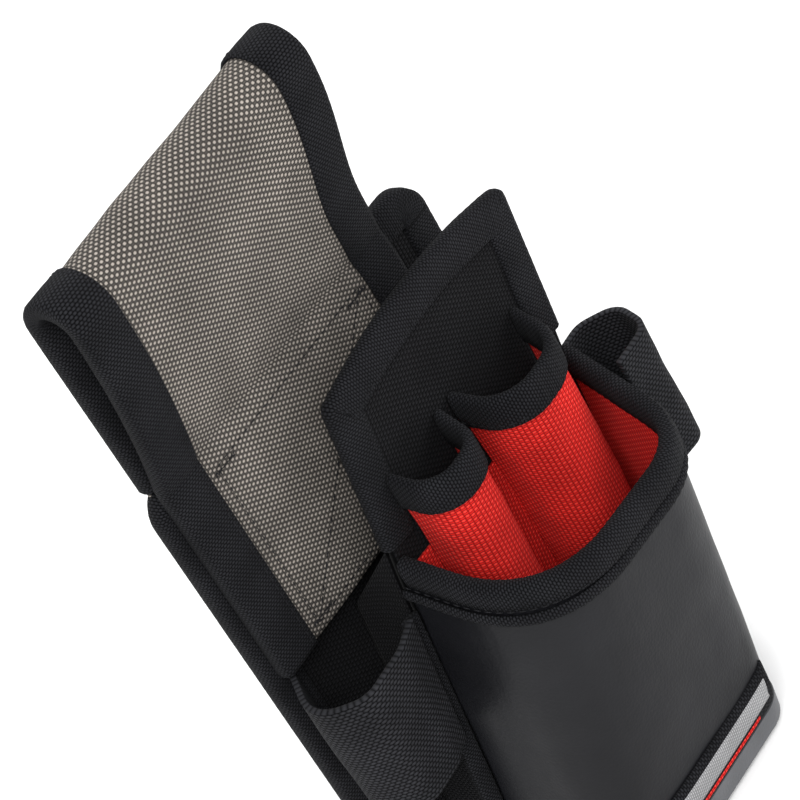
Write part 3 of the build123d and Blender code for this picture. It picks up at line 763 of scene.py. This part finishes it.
def make_divider():
    middle = (divider_low.y + divider_high.y) / 2
    panel_grid = divider_grid(middle, DIVIDER_TOP, 0.8, DIVIDER_CROWN)
    panel = cloth("divider_cloth", panel_grid, 2.4, BLACK, soft=0.5)
    finish_piece(panel, "pouch", "black_ballistic", "divider_panel")
    declare_sheet(panel_grid)
    lining_y = divider_low.y - 0.75
    lining_grid = divider_grid(lining_y, DIVIDER_RED_TOP, 4.0, 0.0)
    lining = cloth("divider_red", lining_grid, 0.8, RED, soft=0.4)
    finish_piece(lining, "pouch", "red_fabric", "divider_lining")
    declare_sheet(lining_grid)
    left, top, right = [], [], []
    for k in range(31):
        climb = (DIVIDER_TOP - DIVIDER_TAPE_FOOT) * k / 30
        left.append(Vector((divider_edge(-1, DIVIDER_TAPE_FOOT + climb, 0), 0, DIVIDER_TAPE_FOOT + climb)))
        right.append(Vector((divider_edge(1, DIVIDER_TOP - climb, 0), 0, DIVIDER_TOP - climb)))
    for k in range(1, 40):
        u = k / 40
        x = DIVIDER_LEFT + (DIVIDER_RIGHT - DIVIDER_LEFT) * u
        top.append(Vector((x, 0, DIVIDER_TOP + DIVIDER_CROWN * (1 - (2 * u - 1) ** 2))))
    path = smooth_path(resample(left + top + right, 0.8), 7)
    ins = []
    for k in range(len(path)):
        along = direction(path, k)
        ins.append(Vector((-along.z, 0.0, along.x)))
    centre_x = (DIVIDER_LEFT + DIVIDER_RIGHT) / 2
    whole = (DIVIDER_RIGHT - DIVIDER_LEFT) / 2
    for p in path:
        u = max(0.0, 1 - ((p.x - centre_x) / whole) ** 2)
        p.y = divider_low.y - DIVIDER_BOW * u
    outs = [OUTWARD] * len(path)
    section = tape_profile(BODY_TAPE, divider_high.y - divider_low.y, TAPE)
    tape = sweep("divider_tape", path, ins, outs, section, TAPE_BLACK)
    finish_piece(tape, "pouch", "binding_tape", "divider_binding")
    seam = [p - i * (BODY_TAPE - STITCH_IN) + Vector((0, -TAPE, 0)) for p, i in zip(path, ins)]
    finish_piece(stitches("divider_stitches", seam, outs, THREAD), "pouch", "thread")
    for corner, side, name in ((0, -1, "left"), (3, 1, "right")):
        grid = []
        for r in range(50):
            t = r / 49
            line = []
            for c in range(16):
                u = c / 15
                y = divider_high.y + 0.2 + (-PANEL_THICK - 1.5 - divider_high.y) * u
                z = WALL_FOOT + (GUSSET_TOP - GUSSET_FALL * u - WALL_FOOT) * t
                fold = 1.2 * math.sin(math.pi * u) * math.sin(math.pi * t)
                line.append(Vector((side_x(corner, z) - side * (0.8 + fold), y, z)))
            grid.append(line if side < 0 else line[::-1])
        piece = cloth(f"{name}_side_cloth", grid, 1.3, BLACK, soft=0.5)
        fix_normals(piece)
        finish_piece(piece, "pouch", "black_ballistic", f"{name}_gusset")
        declare_sheet(grid)


def smooth_path(points, times):
    for _ in range(times):
        middle = [(a + b * 2 + c) / 4 for a, b, c in zip(points, points[1:], points[2:])]
        points = [points[0]] + middle + [points[-1]]
    return points


# ---- main pocket ----
def outline_grow(points, outset, back_y):
    """A plan outline with its three walls moved outwards and its sides ended at back_y."""
    walls = []
    for a, b in zip(points, points[1:]):
        a, b = Vector(a), Vector(b)
        along = (b - a).normalized()
        walls.append((a + Vector((along.y, -along.x)) * outset, along))
    back = (Vector((0.0, back_y)), Vector((1.0, 0.0)))
    result = []
    lines = [back] + walls + [back]
    for (p, u), (q, v) in zip(lines, lines[1:]):
        turn = u.x * v.y - u.y * v.x
        reach = ((q.x - p.x) * v.y - (q.y - p.y) * v.x) / turn
        result.append(p + u * reach)
    return result


def pocket_wall(outset, back_y, count):
    return tapered(outline_grow(POCKET_BASE, outset, back_y), [r + outset for r in BASE_R],
                   outline_grow(POCKET_MOUTH, outset, back_y), [r + outset for r in MOUTH_R],
                   0.0, LOFT_TOP, count)


def wall_grid(wall, count, low, drop, rows):
    grid = []
    tops = [mouth_z(wall(c, MOUTH_POINT.z), drop) for c in range(count)]
    for r in range(rows):
        t = r / (rows - 1)
        grid.append([wall(c, low + (tops[c] - low) * t) for c in range(count)])
    return grid


def rim_outs(points):
    """Level directions out of a pocket, one at each point of its rim."""
    return [direction(points, k).cross(UP).normalized() for k in range(len(points))]


def mouth_path(outset, drop, back_y):
    wall = pocket_wall(outset, back_y, 200)
    rim = [wall(c, mouth_z(wall(c, MOUTH_POINT.z), drop)) for c in range(200)]
    points = resample(rim, RIM_STEP)
    return points, rim_outs(points)


def make_pocket():
    back_y = divider_low.y - 0.2
    count = 150

    def belly(u, v):
        return 1.3 * math.sin(math.pi * min(max((u - 0.12) / 0.76, 0), 1)) * math.sin(math.pi * v) ** 0.8

    wall = pocket_wall(-0.8, back_y, count)
    shell_grid = wall_grid(wall, count, 1.0, 0.2, 90)
    shell = cloth("front_wall", shell_grid, 1.5, COATED, soft=0.55, size=40.0, puff=belly)
    fix_normals(shell)
    finish_piece(shell, "pouch", "coated_fabric", "main_pocket_shell")
    declare_sheet(shell_grid)
    inner = pocket_wall(-2.2, back_y - 1.0, count)
    lining_grid = wall_grid(inner, count, WALL_FOOT, 0.2, 80)
    lining = cloth("pocket_red", lining_grid, 0.8, RED, soft=0.5, puff=belly)
    fix_normals(lining)
    finish_piece(lining, "pouch", "red_fabric", "main_pocket_lining")
    declare_sheet(lining_grid)
    path, outs = mouth_path(0.0, 0.0, back_y - 1.0)
    section = tape_profile(MOUTH_TAPE, 2.7, TAPE * 1.25)
    roll = sweep("mouth_tape", path, [UP] * len(path), outs, section, TAPE_BLACK, pucker=0.2)
    finish_piece(roll, "pouch", "binding_tape", "mouth_binding")
    path, outs = mouth_path(0.6, MOUTH_TAPE - 0.3 + PIPING / 2, back_y)
    section = []
    for k in range(14):
        angle = 2 * math.pi * k / 14
        section.append((PIPING / 2 * math.cos(angle), 0.9 + 1.1 * math.sin(angle)))
    second = sweep("mouth_second_row", path, [UP] * len(path), outs, section, TAPE_BLACK, pucker=0.25)
    finish_piece(second, "pouch", "binding_tape", "mouth_piping")
    path, outs = mouth_path(0.0, MOUTH_TAPE - 1.6, back_y - 1.0)
    seam = [p + o * TAPE * 1.3 for p, o in zip(path, outs)]
    finish_piece(stitches("mouth_stitches", seam, outs, THREAD), "pouch", "thread")


def make_seams():
    for corner, side, top, name in ((0, -1, SEAM_TOPS[0], "left"), (3, 1, SEAM_TOPS[1], "right")):
        heights = [SEAM_FOOT + k * SEAM_STEP for k in range(int((top - SEAM_FOOT) / SEAM_STEP))]
        path = [Vector((side_x(corner, z) + side * SEAM_OUT, SEAM_Y, z)) for z in heights]
        along = (path[-1] - path[0]).normalized()
        ins = [Vector((side * along.z, 0, -side * along.x))] * len(path)
        section = []
        for k in range(16):
            angle = 2 * math.pi * k / 16
            flat = math.copysign(abs(math.cos(angle)) ** 0.7, math.cos(angle))
            section.append((-3.6 + 3.9 * flat, -0.2 + 1.6 * math.sin(angle)))
        piece = sweep(f"{name}_seam_tape", path, ins, [-OUTWARD] * len(path), section, TAPE_BLACK, pucker=0.2)
        finish_piece(piece, "pouch", "binding_tape", f"{name}_seam_binding")


def front_strip(name, outset, low, high, x_low, x_high, material, puff, slot, node):
    """A padded band along the front wall between two X values."""
    wall = pocket_wall(outset, divider_low.y, STRIP_COLUMNS)
    feet = [wall(c, low) for c in range(STRIP_COLUMNS)]
    columns = [c for c, p in enumerate(feet) if x_low <= p.x <= x_high and p.y < FRONT_Y]
    profile = 14
    grid = []
    for r in range(profile):
        t = r / (profile - 1)
        z = low + (high - low) * t
        grid.append([wall(c, z) for c in columns])

    def swollen(u, v):
        return puff * (math.sin(math.pi * v) ** 0.5) * min(1.0, min(u, 1 - u) * 24 + 0.2)

    piece = cloth(name, grid, 0.7, material, puff=swollen)
    fix_normals(piece)
    finish_piece(piece, "pouch", slot, node)
    return piece


def make_strip():
    border = front_strip("strip_border", 1.0, strip_low.z, strip_high.z, strip_low.x, strip_high.x,
                         TAPE_BLACK, 1.9, "black_ballistic", "label_strip")
    front_strip("strip_insert", 2.75, band_low.z, band_high.z, band_low.x, band_high.x,
                LABEL, 0.45, "label_grey", "label_band")
    front_strip("strip_line", 2.55, stripe_low.z, stripe_high.z, stripe_low.x, stripe_high.x,
                RED, 0.35, "red_fabric", "label_stripe")


# ---- sleeves ----
def make_sleeve(name, shape, node):
    low, low_r, high, high_r = shape
    back_y = divider_low.y - 1.6
    count = rows = 80

    def wall_at(outset):
        return tapered(outline_grow(low, outset, back_y), [r + outset for r in low_r],
                       outline_grow(high, outset, back_y), [r + outset for r in high_r],
                       SLEEVE_LOW, SLEEVE_LOFT_TOP, count)

    wall = wall_at(-0.6)
    tops = [SLEEVE_TOP - SLEEVE_SAG * math.sin(math.pi * c / (count - 1)) for c in range(count)]
    grid = [[wall(c, SLEEVE_LOW + (tops[c] - SLEEVE_LOW) * r / (rows - 1)) for c in range(count)]
            for r in range(rows)]

    def bulge(u, v):
        return 1.6 * math.sin(math.pi * u) * math.sin(math.pi * min(1.0, v * 1.08))

    piece = cloth(f"{name}_cloth", grid, 1.2, RED, soft=0.4, size=20.0, puff=bulge)
    fix_normals(piece)
    finish_piece(piece, "pouch", "red_fabric", node)
    declare_sheet(grid)
    wall = wall_at(0.0)
    path = resample([wall(c, tops[c]) for c in range(count)], 0.8)
    outs = rim_outs(path)
    section = tape_profile(BODY_TAPE, 1.4, TAPE)
    tape = sweep(f"{name}_tape", path, [UP] * len(path), outs, section, TAPE_BLACK, pucker=0.18)
    finish_piece(tape, "pouch", "binding_tape", f"{node}_binding")
    seam = [p + o * TAPE - UP * (BODY_TAPE - STITCH_IN) for p, o in zip(path, outs)]
    finish_piece(stitches(f"{name}_stitches", seam, outs, THREAD), "pouch", "thread")


# ---- side loops ----
def make_loop(name, corners, radii, low, high, bulge, node, seam_lean=0.0):
    """A band of webbing round a plan path; seam_lean is how far its sewn front end follows a leaning seam."""
    plan = rounded(corners, radii, 1.2)
    rows = 44
    grid = []
    for r in range(rows):
        t = r / (rows - 1)
        z = low + (high - low) * t
        line = []
        for k, p in enumerate(plan):
            u = k / (len(plan) - 1)
            sag = 1.4 * math.sin(math.pi * u) * (t - 0.5)
            lean = seam_lean * t * max(0.0, (u - 0.45) / 0.55) ** 1.5
            line.append(Vector((p.x + lean, p.y, z + sag)))
        grid.append(line)

    def open_up(u, v):
        return bulge * math.sin(math.pi * u) ** 2 * math.cos(math.pi * (v - 0.9)) * 0.5

    piece = cloth(f"{name}_band", grid, 2.0, WEBBING, soft=0.5, size=24.0, puff=open_up)
    fix_normals(piece)
    finish_piece(piece, "pouch", "webbing", node)
    declare_sheet(grid)


# ---- make everything ----
make_flap()
make_back()
make_divider()
make_pocket()
make_seams()
make_strip()
make_sleeve("driver", DRIVER, "screwdriver_sleeve")
make_sleeve("pen", PEN, "pen_sleeve")
make_loop("left_loop", LEFT_LOOP, LEFT_LOOP_R, left_loop_low.z, left_loop_high.z, 1.6, "left_webbing_loop",
          seam_lean=side_x(0, left_loop_high.z) - side_x(0, left_loop_low.z))
make_loop("right_loop", RIGHT_LOOP, RIGHT_LOOP_R, right_loop_low.z, right_loop_high.z, 1.0,
          "right_webbing_loop")

for node, material in (("back_stiffener", BOARD), ("floor_board", BOARD), ("base_boot", BOOT)):
    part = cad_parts[node]
    part.data.materials.clear()
    part.data.materials.append(material)


# ---- floor, light and camera ----
def make_floor():
    material = bpy.data.materials.new("pale_floor")
    material.use_nodes = True
    shader = material.node_tree.nodes["Principled BSDF"]
    shader.inputs["Base Color"].default_value = (0.93, 0.93, 0.93, 1.0)
    shader.inputs["Roughness"].default_value = 0.9
    bpy.ops.mesh.primitive_plane_add(size=12.0, location=place((0, 0, FLOOR_Z)))
    floor = bpy.context.object
    floor.name = "floor"
    floor.data.materials.append(material)


def area_light(name, location, size, power):
    data = bpy.data.lights.new(name, "AREA")
    data.shape = "SQUARE"
    data.size = size
    data.energy = power
    lamp = bpy.data.objects.new(name, data)
    bpy.context.scene.collection.objects.link(lamp)
    lamp.location = location
    lamp.rotation_euler = (Vector(LIGHT_AIM) - Vector(location)).to_track_quat("-Z", "Y").to_euler()


def make_camera():
    azimuth, elevation = math.radians(CAMERA_AZIMUTH), math.radians(CAMERA_ELEVATION)
    roll = math.radians(CAMERA_ROLL)
    back = Vector((math.sin(azimuth) * math.cos(elevation), -math.cos(azimuth) * math.cos(elevation),
                   math.sin(elevation)))
    level = Vector((math.cos(azimuth), math.sin(azimuth), 0.0))
    upright = back.cross(level)
    right = level * math.cos(roll) - upright * math.sin(roll)
    up = level * math.sin(roll) + upright * math.cos(roll)
    data = bpy.data.cameras.new("camera")
    data.sensor_width = 36.0
    data.lens = CAMERA_LENS
    data.clip_end = 50.0
    camera = bpy.data.objects.new("camera", data)
    bpy.context.scene.collection.objects.link(camera)
    aim = place(CAMERA_AIM)
    spin = Matrix((right, up, back)).transposed().to_4x4()
    camera.matrix_world = Matrix.Translation(aim + back * CAMERA_DISTANCE) @ spin
    bpy.context.scene.camera = camera


make_floor()
for settings in LIGHTS:
    area_light(*settings)
world = bpy.data.worlds.new("studio")
world.use_nodes = True
world.node_tree.nodes["Background"].inputs[0].default_value = (1.0, 1.0, 1.0, 1.0)
world.node_tree.nodes["Background"].inputs[1].default_value = WORLD_STRENGTH
bpy.context.scene.world = world
bpy.context.scene.view_settings.view_transform = "Standard"
make_camera()
